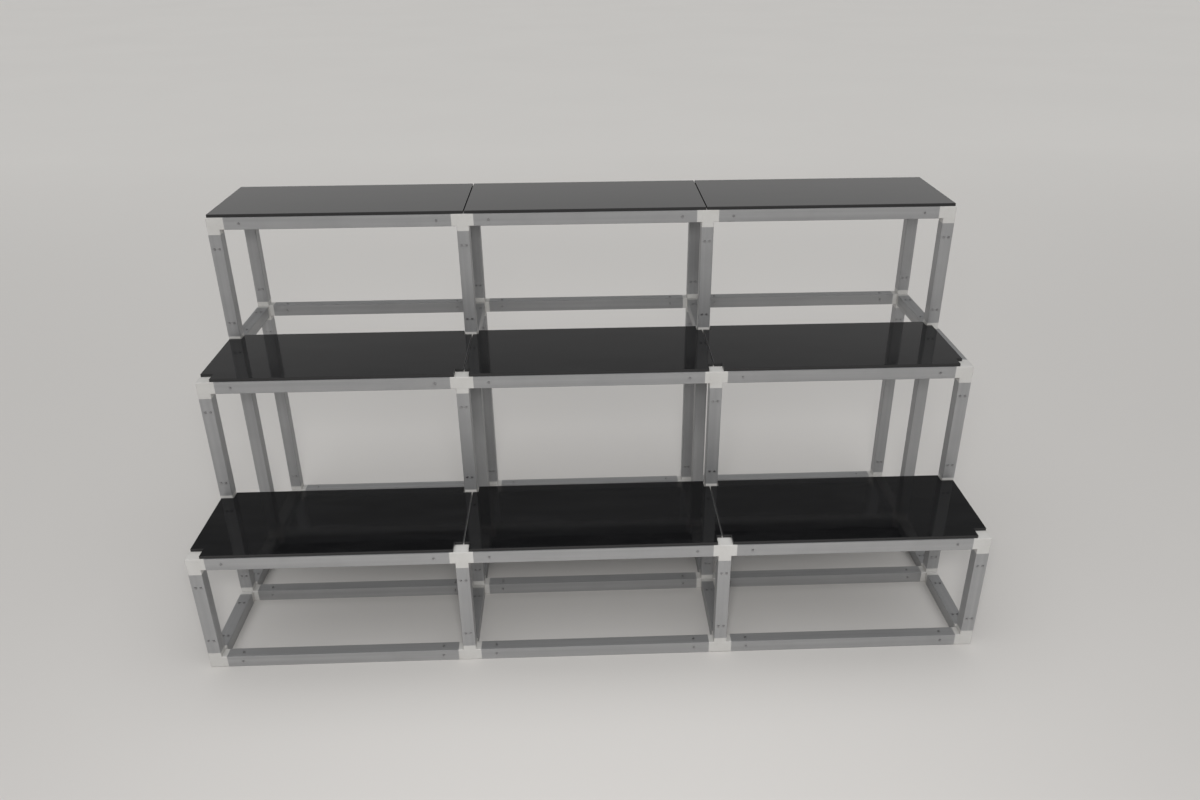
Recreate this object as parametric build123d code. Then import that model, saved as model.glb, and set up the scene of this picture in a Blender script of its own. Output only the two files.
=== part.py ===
"""Three-tier stage riser: square aluminium tubes plugged onto moulded corner
connectors, with nine loose gloss deck panels.

Frame of the model: millimetres, +Z up, +X to the right of someone facing the
lowest tier, +Y towards the highest tier. The origin is on the floor, under the
middle of the whole riser.
"""

import os

from build123d import *

os.makedirs("parts", exist_ok=True)

# ---------------------------------------------------------------- dimensions
BAY = 1000.0                # post centre to post centre, left to right
ROW = 425.0                 # post centre to post centre, front to back
TUBE = 50.0                 # outside of the square tube
WALL = 2.0                  # tube wall
TUBE_R = 2.5                # outside corner radius of the tube
COLLAR = 20.0               # connector stub between its cube and each tube end
TOPS = (50.0, 515.0, 1045.0, 1575.0)  # top face of the rails at each level

SPIGOT = 78.0               # how far a connector spigot reaches into a tube
SPIGOT_CLEAR = 0.2          # play between spigot and tube, each side
SPIGOT_WALL = 5.0           # spigot is a blind box section
LEAD_IN = 2.0               # chamfer at the tip of a spigot
CORE_R = 2.5                # edge radius of the connector cube
COLLAR_STEP = 0.2           # the collars lie this far under the cube's faces
COLLAR_R = 3.0              # corner radius of the collars

SCREW_AT = 60.0             # screw line, measured from the tube end
SCREW_PAIR = 10.0           # half spacing where two screws sit side by side
SCREW_D = 4.8               # shank
SCREW_HOLE = 5.2            # hole in the tube wall and in the spigot
SCREW_LEN = 11.0            # shank length under the head
HEAD_D = 10.0               # button head
HEAD_H = 3.0
SOCKET_AF = 3.2             # hexagon socket across flats
SOCKET_DEEP = 1.6

DECK_T = 12.0               # deck panel
DECK_LIFT = 0.3             # air under a panel that rests on the rails
DECK_INSET = 5.0            # panel edge back from the outer faces of the frame
DECK_BACK = 12.0            # stepped tiers: back edge behind the post centres
DECK_GAP = 5.0              # gap between neighbouring panels
DECK_EDGE = 1.0             # chamfer round the top edge
SEAM_IN = 6.0               # the two seams lie this far inside the post centres
NOTCH = 6.0                 # room round a post
CUBE_NOTCH = 4.0            # room behind and beside a connector's bare top
TIER2_RIGHT_SHORT = 25.0    # the right panel of the middle tier stops short

# The screws stand proud on the front only, so the rows sit half a head back
# and the origin stays under the middle of the bounding box.
Y_SHIFT = HEAD_H / 2

H = TUBE / 2
COLS = [-1.5 * BAY, -0.5 * BAY, 0.5 * BAY, 1.5 * BAY]
ROWS = [Y_SHIFT + ROW * k for k in (-1.5, -0.5, 0.5, 1.5)]
LEVELS = [t - H for t in TOPS]          # centre height of the rails
END = H + COLLAR                        # connector centre to tube end

X, Y, Z = (1, 0, 0), (0, 1, 0), (0, 0, 1)
NX, NY, NZ = (-1, 0, 0), (0, -1, 0), (0, 0, -1)

# Which connectors exist, and their arms apart from the left-right ones.
ARMS = {
    (0, 0): [Y, Z],
    (0, 1): [Y, NZ],
    (1, 0): [NY, Y, Z],
    (1, 1): [NY, NZ, Z],
    (1, 2): [Y, NZ],
    (2, 0): [NY, Y, Z],
    (2, 2): [NY, Y, NZ, Z],
    (2, 3): [Y, NZ],
    (3, 0): [NY, Z],
    (3, 2): [NY, NZ, Z],
    (3, 3): [NY, NZ],
}
LEVEL_NAME = {0: "floor", 1: "tier1", 2: "tier2", 3: "tier3"}


def bare_top(row, level):
    """Rails with nothing lying on them take their top screws from above."""
    return level == 0 or (row, level) == (3, 2)


def frame_at(origin, z_dir):
    """A location whose +Z is z_dir and whose +X is a fixed world direction."""
    x_dir = {X: Y, NX: Y, Y: X, NY: X, Z: X, NZ: X}[z_dir]
    return Plane(origin=origin, x_dir=x_dir, z_dir=z_dir).location


def screw_sites(centre, arm, row, level):
    """(point on the tube face, outward direction) of the screws of one arm.

    The tube's pieces are screwed to the connector where the face shows:
    uprights from the front in pairs, left-right rails from the front with one
    screw and from above with one, front-back rails in pairs from above, or
    from below where a deck covers them.
    """
    cx, cy, cz = centre
    d = END + SCREW_AT
    px, py, pz = cx + arm[0] * d, cy + arm[1] * d, cz + arm[2] * d
    if arm in (Z, NZ):
        return [((px + s * SCREW_PAIR, py - H, pz), NY) for s in (-1, 1)]
    if arm in (X, NX):
        sites = [((px, py - H, pz), NY)]
        if bare_top(row, level):
            sites.append(((px, py, pz + H), Z))
        return sites
    # front-back rails: the rail belongs to the bay between two rows
    rear = row if arm == Y else row - 1
    up = level == 0 or (rear == 2 and level == 2)
    face = Z if up else NZ
    return [((px + s * SCREW_PAIR, py, pz + (H if up else -H)), face) for s in (-1, 1)]


def holes(sites, depth):
    out = []
    for point, face in sites:
        cut = Cylinder(SCREW_HOLE / 2, depth, align=(Align.CENTER, Align.CENTER, Align.MAX))
        # starts 2 mm outside the face and runs inwards
        start = tuple(p + 2.0 * f for p, f in zip(point, face))
        out.append(frame_at(start, face) * cut)
    return out


# ------------------------------------------------------------------- screws
def make_screw():
    """Button-head screw: seat at z = 0, head above, shank below."""
    head = Cylinder(HEAD_D / 2, HEAD_H, align=(Align.CENTER, Align.CENTER, Align.MIN))
    head = fillet(head.edges().group_by(Axis.Z)[-1], 1.9)
    socket = Pos(0, 0, HEAD_H - SOCKET_DEEP) * extrude(
        RegularPolygon(SOCKET_AF / 2, 6, major_radius=False), SOCKET_DEEP + 1
    )
    shank = Cylinder(SCREW_D / 2, SCREW_LEN, align=(Align.CENTER, Align.CENTER, Align.MAX))
    shank = chamfer(shank.edges().group_by(Axis.Z)[0], 1.0)
    return (head + shank - socket).solid()


# -------------------------------------------------------------------- tubes
def make_tube(length):
    """Square tube along +Z from z = 0, open at both ends."""
    ring = RectangleRounded(TUBE, TUBE, TUBE_R) - Rectangle(TUBE - 2 * WALL, TUBE - 2 * WALL)
    return extrude(ring, length).solid()


# --------------------------------------------------------------- connectors
def make_core():
    return fillet(Box(TUBE, TUBE, TUBE).edges(), CORE_R).solid()


def make_arm():
    """Collar and hollow spigot along +Z, rooted inside the cube."""
    across = TUBE - 2 * COLLAR_STEP
    root = H - 5.0
    collar = Pos(0, 0, root) * extrude(RectangleRounded(across, across, COLLAR_R), END - root)
    side = TUBE - 2 * WALL - 2 * SPIGOT_CLEAR
    spigot = Pos(0, 0, END) * extrude(Rectangle(side, side), SPIGOT)
    spigot = chamfer(spigot.edges().group_by(Axis.Z)[-1], LEAD_IN)
    inner = side - 2 * SPIGOT_WALL
    pocket = Pos(0, 0, END + 2.0) * extrude(Rectangle(inner, inner), SPIGOT)
    return (collar + spigot - pocket).solid()


CORE = make_core()
ARM = make_arm()
SCREW = make_screw()
screws = {"upright_screws": [], "long_rail_screws": [], "cross_rail_screws": []}


def connector(col, row, level):
    centre = (COLS[col], ROWS[row], LEVELS[level])
    arms = list(ARMS[(row, level)])
    if col > 0:
        arms.append(NX)
    if col < 3:
        arms.append(X)
    body = Pos(*centre) * CORE
    cuts = []
    for arm in arms:
        body = body + frame_at(centre, arm) * ARM
        sites = screw_sites(centre, arm, row, level)
        cuts += holes(sites, 2.0 + WALL + SPIGOT_CLEAR + SPIGOT_WALL + 1.5)
        kind = {0: "long_rail_screws", 1: "cross_rail_screws", 2: "upright_screws"}[
            [abs(a) for a in arm].index(1)
        ]
        for point, face in sites:
            screws[kind].append(frame_at(point, face) * SCREW)
    return (body - cuts).solid()


def save(name, solids):
    shape = solids[0] if len(solids) == 1 else Compound(children=list(solids))
    shape.label = name
    export_step(shape, f"parts/{name}.step")


for (row, level) in ARMS:
    base = f"row{row + 1}_{LEVEL_NAME[level]}"
    save(f"{base}_end_connectors", [connector(c, row, level) for c in (0, 3)])
    save(f"{base}_middle_connectors", [connector(c, row, level) for c in (1, 2)])


# ---------------------------------------------------------- tubes, in place
def tube_between(a, b, arm, ends):
    """Tube from connector centre a to connector centre b along arm.

    ends: (row, level) of both connectors, for the screw holes.
    """
    run = sum(abs(q - p) for p, q in zip(a, b))
    length = run - 2 * END
    start = tuple(p + d * END for p, d in zip(a, arm))
    body = frame_at(start, arm) * make_tube(length)
    back = tuple(-d for d in arm)
    cuts = holes(screw_sites(a, arm, *ends[0]), 2.0 + WALL + 1.0)
    cuts += holes(screw_sites(b, back, *ends[1]), 2.0 + WALL + 1.0)
    return (body - cuts).solid()


def at(col, row, level):
    return (COLS[col], ROWS[row], LEVELS[level])


# Uprights. The two back rows run from the floor to the middle tier in one
# length; every other upright is one level tall.
UPRIGHTS = [
    (0, 0, 1, "row1_uprights"),
    (1, 0, 1, "row2_lower_uprights"),
    (1, 1, 2, "row2_upper_uprights"),
    (2, 0, 2, "row3_long_uprights"),
    (2, 2, 3, "row3_upper_uprights"),
    (3, 0, 2, "row4_long_uprights"),
    (3, 2, 3, "row4_upper_uprights"),
]
for row, low, high, name in UPRIGHTS:
    first = tube_between(at(0, row, low), at(0, row, high), Z, ((row, low), (row, high)))
    save(name, [Pos(BAY * c, 0, 0) * first for c in range(4)])

# Left-right rails, three in line in each row and level.
for (row, level) in ARMS:
    first = tube_between(at(0, row, level), at(1, row, level), X, ((row, level), (row, level)))
    save(f"row{row + 1}_{LEVEL_NAME[level]}_rails", [Pos(BAY * c, 0, 0) * first for c in range(3)])

# Front-back rails, one at each column.
CROSS = [
    (0, 0, "tier1_floor_cross_rails"),
    (0, 1, "tier1_deck_cross_rails"),
    (1, 0, "tier2_floor_cross_rails"),
    (1, 2, "tier2_deck_cross_rails"),
    (2, 0, "tier3_floor_cross_rails"),
    (2, 2, "tier3_middle_cross_rails"),
    (2, 3, "tier3_deck_cross_rails"),
]
for row, level, name in CROSS:
    first = tube_between(at(0, row, level), at(0, row + 1, level), Y, ((row, level), (row + 1, level)))
    save(name, [Pos(BAY * c, 0, 0) * first for c in range(4)])

for name, group in screws.items():
    save(name, group)

# ------------------------------------------------------------- deck panels
SIDE = 1.5 * BAY + H - DECK_INSET


def panel(tier, bay):
    """One deck panel: a board on the rails, notched where the frame is in the way.

    On the two lower tiers the front corners are cut away over the bare tops of
    the connectors, and the back corners round the uprights of the next row.
    The top tier covers the whole frame.
    """
    row = tier - 1
    z0 = TOPS[tier] + DECK_LIFT
    seam = 0.5 * BAY - SEAM_IN
    x0, x1 = [(-SIDE, -seam - DECK_GAP / 2), (-seam + DECK_GAP / 2, seam - DECK_GAP / 2),
              (seam + DECK_GAP / 2, SIDE)][bay]
    if (tier, bay) == (2, 2):
        x1 -= TIER2_RIGHT_SHORT
    y0 = ROWS[row] - H + DECK_INSET
    y1 = ROWS[row + 1] + (H - DECK_INSET if tier == 3 else DECK_BACK)
    body = Pos((x0 + x1) / 2, (y0 + y1) / 2, z0) * Box(
        x1 - x0, y1 - y0, DECK_T, align=(Align.CENTER, Align.CENTER, Align.MIN)
    )
    if tier < 3:
        for c in (bay, bay + 1):
            cut = H + CUBE_NOTCH
            body = body - Pos(COLS[c], ROWS[row], z0) * Box(
                2 * (H + CUBE_NOTCH), 2 * cut, 3 * DECK_T)
            body = body - Pos(COLS[c], ROWS[row + 1], z0) * Box(
                2 * (H + NOTCH), 2 * (H + NOTCH), 3 * DECK_T)
    body = body.solid()
    body = chamfer(body.edges().group_by(Axis.Z)[-1], DECK_EDGE)
    return body.solid()


for tier in (1, 2, 3):
    for bay, side in enumerate(("left", "middle", "right")):
        save(f"tier{tier}_{side}_panel", [panel(tier, bay)])
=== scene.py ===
import math

import bpy
from mathutils import Matrix, Vector

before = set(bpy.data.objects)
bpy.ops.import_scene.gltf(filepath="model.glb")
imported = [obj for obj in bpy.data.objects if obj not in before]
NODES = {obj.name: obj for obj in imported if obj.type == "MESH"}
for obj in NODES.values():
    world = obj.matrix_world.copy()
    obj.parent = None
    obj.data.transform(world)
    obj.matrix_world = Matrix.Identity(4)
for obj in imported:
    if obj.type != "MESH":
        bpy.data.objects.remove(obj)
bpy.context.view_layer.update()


# ------------------------------------------------------------ material tools
class Mat:
    """A small helper that writes node materials."""

    def __init__(self, name):
        self.mat = bpy.data.materials.new(name)
        self.mat.use_nodes = True
        self.nt = self.mat.node_tree
        self.bsdf = next(n for n in self.nt.nodes if n.type == "BSDF_PRINCIPLED")
        self.coord = self.add("ShaderNodeTexCoord")

    def add(self, kind, **props):
        n = self.nt.nodes.new(kind)
        for k, v in props.items():
            setattr(n, k, v)
        return n

    def link(self, a, b):
        self.nt.links.new(a, b)

    def set(self, **values):
        for k, v in values.items():
            self.bsdf.inputs[k.replace("_", " ")].default_value = v

    def mapped(self, scale, turn=(0, 0, 0)):
        m = self.add("ShaderNodeMapping")
        m.inputs["Scale"].default_value = scale
        m.inputs["Rotation"].default_value = turn
        self.link(self.coord.outputs["Object"], m.inputs["Vector"])
        return m.outputs["Vector"]

    def noise(self, vector, scale, detail=4.0, rough=0.5, distort=0.0):
        n = self.add("ShaderNodeTexNoise")
        n.inputs["Scale"].default_value = scale
        n.inputs["Detail"].default_value = detail
        n.inputs["Roughness"].default_value = rough
        n.inputs["Distortion"].default_value = distort
        self.link(vector, n.inputs["Vector"])
        return n.outputs["Fac"]

    def ramp(self, fac, stops):
        r = self.add("ShaderNodeValToRGB")
        el = r.color_ramp.elements
        while len(el) < len(stops):
            el.new(0.5)
        for e, (pos, c) in zip(el, stops):
            e.position = pos
            e.color = (c, c, c, 1) if isinstance(c, (int, float)) else (*c, 1)
        self.link(fac, r.inputs["Fac"])
        return r.outputs["Color"]

    def math(self, op, a, b, clamp=False):
        m = self.add("ShaderNodeMath", operation=op, use_clamp=clamp)
        for i, v in enumerate((a, b)):
            if isinstance(v, (int, float)):
                m.inputs[i].default_value = v
            else:
                self.link(v, m.inputs[i])
        return m.outputs[0]

    def mix(self, fac, a, b, kind="MIX"):
        m = self.add("ShaderNodeMix", data_type="RGBA", blend_type=kind)
        for sock, v in ((m.inputs[0], fac), (m.inputs[6], a), (m.inputs[7], b)):
            if isinstance(v, (int, float)):
                sock.default_value = v
            elif isinstance(v, tuple):
                sock.default_value = (*v, 1)
            else:
                self.link(v, sock)
        return m.outputs[2]

    def edges(self, radius, low, high):
        """Mask that is 1 on worn edges: where the rounded normal leaves the true one."""
        bev = self.add("ShaderNodeBevel", samples=4)
        bev.inputs["Radius"].default_value = radius
        geo = self.add("ShaderNodeNewGeometry")
        dot = self.add("ShaderNodeVectorMath", operation="DOT_PRODUCT")
        self.link(bev.outputs["Normal"], dot.inputs[0])
        self.link(geo.outputs["Normal"], dot.inputs[1])
        return self.ramp(dot.outputs["Value"], [(low, 1.0), (high, 0.0)])

    def bump(self, height, strength, distance, chain=None):
        b = self.add("ShaderNodeBump")
        b.inputs["Strength"].default_value = strength
        b.inputs["Distance"].default_value = distance
        self.link(height, b.inputs["Height"])
        if chain is not None:
            self.link(chain, b.inputs["Normal"])
        return b.outputs["Normal"]

    def to(self, name, out):
        self.link(out, self.bsdf.inputs[name])


def aluminium(name, axis):
    """Satin anodised extrusion. The drawing lines run along the tube."""
    m = Mat(name)
    along = [900.0, 900.0, 900.0]
    along[axis] = 2.5
    lines = m.noise(m.mapped(along), 1.0, 3.0, 0.6)
    broad = [60.0, 60.0, 60.0]
    broad[axis] = 0.8
    bands = m.noise(m.mapped(broad), 1.0, 2.0, 0.5)
    cloud = m.noise(m.mapped((1, 1, 1)), 7.0, 4.0, 0.6)
    grain = m.noise(m.mapped((1, 1, 1)), 1400.0, 2.0, 0.5)
    tone = m.math("ADD", m.math("MULTIPLY", lines, 0.35), m.math("MULTIPLY", bands, 0.65))
    colour = m.ramp(tone, [(0.30, (0.39, 0.393, 0.40)), (0.70, (0.47, 0.473, 0.478))])
    colour = m.mix(m.ramp(cloud, [(0.45, 0.0), (0.75, 0.35)]), colour, (0.37, 0.373, 0.378))
    scuff = m.noise(m.mapped((1, 1, 1), (0.3, 0.5, 0.2)), 38.0, 6.0, 0.75, 0.6)
    scuff = m.ramp(scuff, [(0.66, 0.0), (0.72, 1.0)])
    colour = m.mix(m.math("MULTIPLY", scuff, 0.30), colour, (0.56, 0.56, 0.57))
    worn = m.math("MULTIPLY", m.edges(0.0016, 0.90, 0.995), m.ramp(cloud, [(0.3, 0.35), (0.7, 1.0)]))
    colour = m.mix(m.math("MULTIPLY", worn, 0.5), colour, (0.66, 0.66, 0.67))
    m.to("Base Color", colour)
    rough = m.math("ADD", m.math("MULTIPLY", lines, 0.14), 0.42)
    rough = m.math("ADD", rough, m.math("MULTIPLY", cloud, 0.10))
    rough = m.math("SUBTRACT", rough, m.math("MULTIPLY", worn, 0.12), clamp=True)
    m.to("Roughness", rough)
    m.set(Metallic=0.6)
    n = m.bump(lines, 0.10, 0.00012)
    m.to("Normal", m.bump(grain, 0.06, 0.00010, n))
    return m.mat


def plastic(name):
    """Off-white moulded connector: fine spark-eroded grain, softly marked edges, painted shade in the
    creases.
    """
    m = Mat(name)
    o = m.mapped((1, 1, 1))
    cloud = m.noise(o, 9.0, 4.0, 0.6)
    speck = m.noise(o, 520.0, 2.0, 0.5)
    flow = m.noise(m.mapped((1, 1, 1), (0.4, 0.2, 0.7)), 32.0, 3.0, 0.5, 1.2)
    colour = m.ramp(cloud, [(0.30, (0.56, 0.553, 0.535)), (0.70, (0.62, 0.615, 0.60))])
    colour = m.mix(m.ramp(flow, [(0.52, 0.0), (0.80, 0.30)]), colour, (0.53, 0.52, 0.50))
    worn = m.edges(0.0018, 0.88, 0.995)
    dirt = m.noise(o, 85.0, 5.0, 0.7)
    dirt = m.math("MULTIPLY", m.ramp(dirt, [(0.50, 0.0), (0.72, 1.0)]), worn)
    colour = m.mix(m.math("MULTIPLY", dirt, 0.30), colour, (0.50, 0.49, 0.46))
    # painted shade: ambient occlusion darkens the colour in creases and in joins between parts
    ao = m.add("ShaderNodeAmbientOcclusion", samples=4, only_local=False)
    ao.inputs["Distance"].default_value = 0.012
    painted_crease_shade = m.ramp(ao.outputs["AO"], [(0.35, 0.55), (0.85, 0.0)])
    colour = m.mix(m.math("MULTIPLY", painted_crease_shade, 0.6), colour, (0.42, 0.41, 0.39))
    m.to("Base Color", colour)
    rough = m.math("ADD", m.math("MULTIPLY", speck, 0.14), 0.40)
    m.to("Roughness", m.math("ADD", rough, m.math("MULTIPLY", cloud, 0.08)))
    m.set(Specular_IOR_Level=0.45)
    n = m.bump(speck, 0.14, 0.00016)
    m.to("Normal", m.bump(flow, 0.05, 0.0006, n))
    return m.mat


def board(name):
    """Gloss black deck panel: polished face, faint waviness, wiped smudges, sawn edge."""
    m = Mat(name)
    o = m.mapped((1, 1, 1))
    wave = m.noise(o, 9.0, 2.0, 0.4)
    peel = m.noise(o, 320.0, 2.0, 0.5)
    wipe = m.noise(m.mapped((1.0, 5.0, 1.0), (0, 0, 0.25)), 3.2, 6.0, 0.65, 0.8)
    dust = m.noise(o, 900.0, 3.0, 0.7)
    fleck = m.ramp(dust, [(0.68, 0.0), (0.74, 1.0)])
    geo = m.add("ShaderNodeNewGeometry")
    sep = m.add("ShaderNodeSeparateXYZ")
    m.link(geo.outputs["Normal"], sep.inputs[0])
    side = m.ramp(m.math("ABSOLUTE", sep.outputs["Z"], 0.0), [(0.20, 1.0), (0.60, 0.0)])
    worn = m.edges(0.0010, 0.90, 0.995)
    colour = m.ramp(wipe, [(0.35, (0.0065, 0.0066, 0.0072)), (0.75, (0.0115, 0.0117, 0.0125))])
    colour = m.mix(m.math("MULTIPLY", fleck, 0.10), colour, (0.20, 0.20, 0.19))
    colour = m.mix(m.math("MULTIPLY", side, 0.8), colour, (0.020, 0.020, 0.021))
    colour = m.mix(m.math("MULTIPLY", worn, 0.35), colour, (0.11, 0.11, 0.11))
    m.to("Base Color", colour)
    rough = m.ramp(wipe, [(0.40, 0.045), (0.80, 0.14)])
    rough = m.math("ADD", rough, m.math("MULTIPLY", side, 0.28))
    m.to("Roughness", m.math("ADD", rough, m.math("MULTIPLY", fleck, 0.10), clamp=True))
    m.set(Specular_IOR_Level=0.5)
    n = m.bump(wave, 0.05, 0.0015)
    m.to("Normal", m.bump(peel, 0.02, 0.00006, n))
    return m.mat


def steel(name):
    """Screws: turned steel with a fine swirl and painted shade darkening the sockets."""
    m = Mat(name)
    o = m.mapped((1, 1, 1))
    grain = m.noise(o, 1800.0, 3.0, 0.6)
    cloud = m.noise(o, 60.0, 3.0, 0.6)
    # painted shade: ambient occlusion darkens the colour inside the sockets and recesses
    ao = m.add("ShaderNodeAmbientOcclusion", samples=4)
    ao.inputs["Distance"].default_value = 0.003
    colour = m.ramp(cloud, [(0.30, (0.40, 0.40, 0.41)), (0.70, (0.56, 0.56, 0.57))])
    painted_crease_shade = m.ramp(ao.outputs["AO"], [(0.25, 0.9), (0.80, 0.0)])
    colour = m.mix(painted_crease_shade, colour, (0.03, 0.03, 0.03))
    m.to("Base Color", colour)
    m.to("Roughness", m.math("ADD", m.math("MULTIPLY", grain, 0.20), 0.22))
    m.set(Metallic=1.0)
    m.to("Normal", m.bump(grain, 0.08, 0.00008))
    return m.mat


TUBE = {0: aluminium("satin_tube_x", 0), 1: aluminium("satin_tube_y", 1), 2: aluminium("satin_tube_z", 2)}
WHITE = plastic("moulded_white")
BOARD = board("gloss_deck")
STEEL = steel("screw_steel")


def dress(o, mat):
    o.data.materials.clear()
    o.data.materials.append(mat)
    for p in o.data.polygons:
        p.material_index = 0


def soften(o, width, angle, segments=2):
    """Joins the split corners of the mesh and breaks its sharp edges."""
    w = o.modifiers.new("weld", "WELD")
    w.merge_threshold = 1e-6
    b = o.modifiers.new("edge", "BEVEL")
    b.limit_method = "ANGLE"
    b.angle_limit = math.radians(angle)
    b.width = width
    b.segments = segments
    b.use_clamp_overlap = True
    b.harden_normals = True
    b.miter_outer = "MITER_ARC"


for name, o in NODES.items():
    if name.endswith("_panel"):
        dress(o, BOARD)
    elif name.endswith("_connectors"):
        dress(o, WHITE)
    elif name.endswith("_screws"):
        dress(o, STEEL)
    elif "uprights" in name:
        dress(o, TUBE[2])
    elif "cross" in name:
        dress(o, TUBE[1])
    else:
        dress(o, TUBE[0])


# ------------------------------------------------------------------- studio
def floor():
    me = bpy.data.meshes.new("floor")
    n, size = 24, 90.0
    vs = [((i / n - 0.5) * size, (j / n - 0.35) * size, -0.0006) for j in range(n + 1) for i in range(n + 1)]
    fs = [(j * (n + 1) + i, j * (n + 1) + i + 1, (j + 1) * (n + 1) + i + 1, (j + 1) * (n + 1) + i)
          for j in range(n) for i in range(n)]
    me.from_pydata(vs, [], fs)
    o = bpy.data.objects.new("floor", me)
    bpy.context.scene.collection.objects.link(o)
    m = Mat("pale_floor")
    v = m.mapped((1, 1, 1))
    cloud = m.noise(v, 0.35, 3.0, 0.5)
    # painted light: the floor colour pales towards the back so the far floor stays bright
    sep = m.add("ShaderNodeSeparateXYZ")
    m.link(v, sep.inputs[0])
    far_painted_light = m.ramp(m.math("ADD", m.math("MULTIPLY", sep.outputs["Y"], 0.05), 0.30), [(0.14, (0.62, 0.605, 0.59)), (0.75, (0.84, 0.825, 0.80))])
    m.to("Base Color", m.mix(m.ramp(cloud, [(0.30, 0.0), (0.70, 0.06)]), far_painted_light, (0.60, 0.59, 0.57)))
    m.to("Roughness", m.ramp(m.noise(v, 3.0, 3.0, 0.5), [(0.3, 0.85), (0.7, 0.95)]))
    m.set(Specular_IOR_Level=0.1)
    me.materials.append(m.mat)
    return o


floor()


def area(name, where, aim, size, power, tint=(1, 1, 1)):
    d = bpy.data.lights.new(name, "AREA")
    d.shape = "RECTANGLE"
    d.size, d.size_y = size
    d.energy = power
    d.color = tint
    o = bpy.data.objects.new(name, d)
    bpy.context.scene.collection.objects.link(o)
    o.location = where
    o.rotation_mode = "QUATERNION"
    o.rotation_quaternion = (Vector(aim) - Vector(where)).to_track_quat("-Z", "Y")
    return o


def sun(name, aim, strength, angle):
    d = bpy.data.lights.new(name, "SUN")
    d.energy = strength
    d.angle = math.radians(angle)
    o = bpy.data.objects.new(name, d)
    bpy.context.scene.collection.objects.link(o)
    o.rotation_mode = "QUATERNION"
    o.rotation_quaternion = Vector(aim).to_track_quat("-Z", "Y")
    return o


# One soft box just above the viewpoint, and a wide even light from overhead.
key = area("key", (-0.05, -3.95, 3.05), (0, 0, 0.9), (0.8, 0.5), 78.0, (1.0, 0.99, 0.975))
top = sun("overhead", (0.0, 0.15, -1.0), 1.35, 100.0)
for lamp in (key, top):
    lamp.visible_glossy = False

# Studio surround: bright low behind the object, dimmer higher up and to the sides.
world = bpy.data.worlds.new("studio")
bpy.context.scene.world = world
world.use_nodes = True
wt = world.node_tree
bg = next(n for n in wt.nodes if n.type == "BACKGROUND")
coord = wt.nodes.new("ShaderNodeTexCoord")
sep = wt.nodes.new("ShaderNodeSeparateXYZ")
wt.links.new(coord.outputs["Generated"], sep.inputs[0])


def world_ramp(source, stops, tint=(1, 1, 1)):
    r = wt.nodes.new("ShaderNodeValToRGB")
    els = r.color_ramp.elements
    while len(els) < len(stops):
        els.new(0.5)
    for e, (p, c) in zip(els, stops):
        e.position = p
        e.color = (c * tint[0], c * tint[1], c * tint[2], 1)
    wt.links.new(source, r.inputs["Fac"])
    return r.outputs["Color"]


side = wt.nodes.new("ShaderNodeMath")
side.operation = "ABSOLUTE"
wt.links.new(sep.outputs["X"], side.inputs[0])
high = world_ramp(sep.outputs["Z"], [(0.0, 0.62), (0.24, 0.50), (0.38, 0.28), (0.52, 0.10), (1.0, 0.40)], (1.0, 0.99, 0.98))
flank = world_ramp(side.outputs[0], [(0.40, 1.0), (0.85, 0.45)])
both = wt.nodes.new("ShaderNodeMix")
both.data_type = "RGBA"
both.blend_type = "MULTIPLY"
both.inputs[0].default_value = 1.0
wt.links.new(high, both.inputs[6])
wt.links.new(flank, both.inputs[7])
wt.links.new(both.outputs[2], bg.inputs["Color"])
bg.inputs["Strength"].default_value = 1.0

# ------------------------------------------------------------------- camera
cam_data = bpy.data.cameras.new("camera")
cam = bpy.data.objects.new("camera", cam_data)
bpy.context.scene.collection.objects.link(cam)
bpy.context.scene.camera = cam
cam_data.sensor_width = 36.0
cam_data.lens = 29.016
cam_data.shift_x = -0.01119
cam_data.shift_y = 0.01965
cam_data.clip_start = 0.05
cam_data.clip_end = 300.0
PITCH, ROLL, YAW = -0.4753, 0.0053, -0.0393
turn = Matrix.Rotation(YAW, 3, "Z") @ Matrix.Rotation(ROLL, 3, "Y") @ Matrix.Rotation(PITCH, 3, "X")
right, ahead, up = turn.col[0], turn.col[1], turn.col[2]
rot = Matrix((right, up, -ahead)).transposed()
cam.matrix_world = Matrix.Translation((-0.0341, -3.691, 2.6064)) @ rot.to_4x4()

bpy.context.scene.view_settings.view_transform = "Standard"
